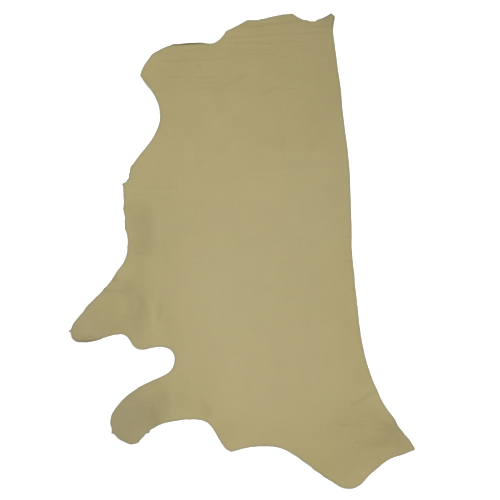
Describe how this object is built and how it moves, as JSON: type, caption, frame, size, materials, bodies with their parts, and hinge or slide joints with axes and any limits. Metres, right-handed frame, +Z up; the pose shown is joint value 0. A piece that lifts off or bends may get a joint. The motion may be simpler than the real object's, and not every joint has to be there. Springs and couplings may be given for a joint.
{
  "type": "leather hide",
  "caption": "Side of upholstery leather with its natural outline of legs, flank and neck, lying flat grain side up.",
  "frame": {"origin": "middle of the hide's outline, on the surface that it lies on", "axes": "+Y from the rump to the neck, +X from the belly to the backbone cut, +Z up, out of the grain side"},
  "size_m": [1.6714, 2.3, 0.0094],
  "materials": {
    "leather": "matt olive beige, dyed, with a fine grain"
  },
  "bodies": {
    "root": {"hide": "leather"}
  },
  "joints": []
}
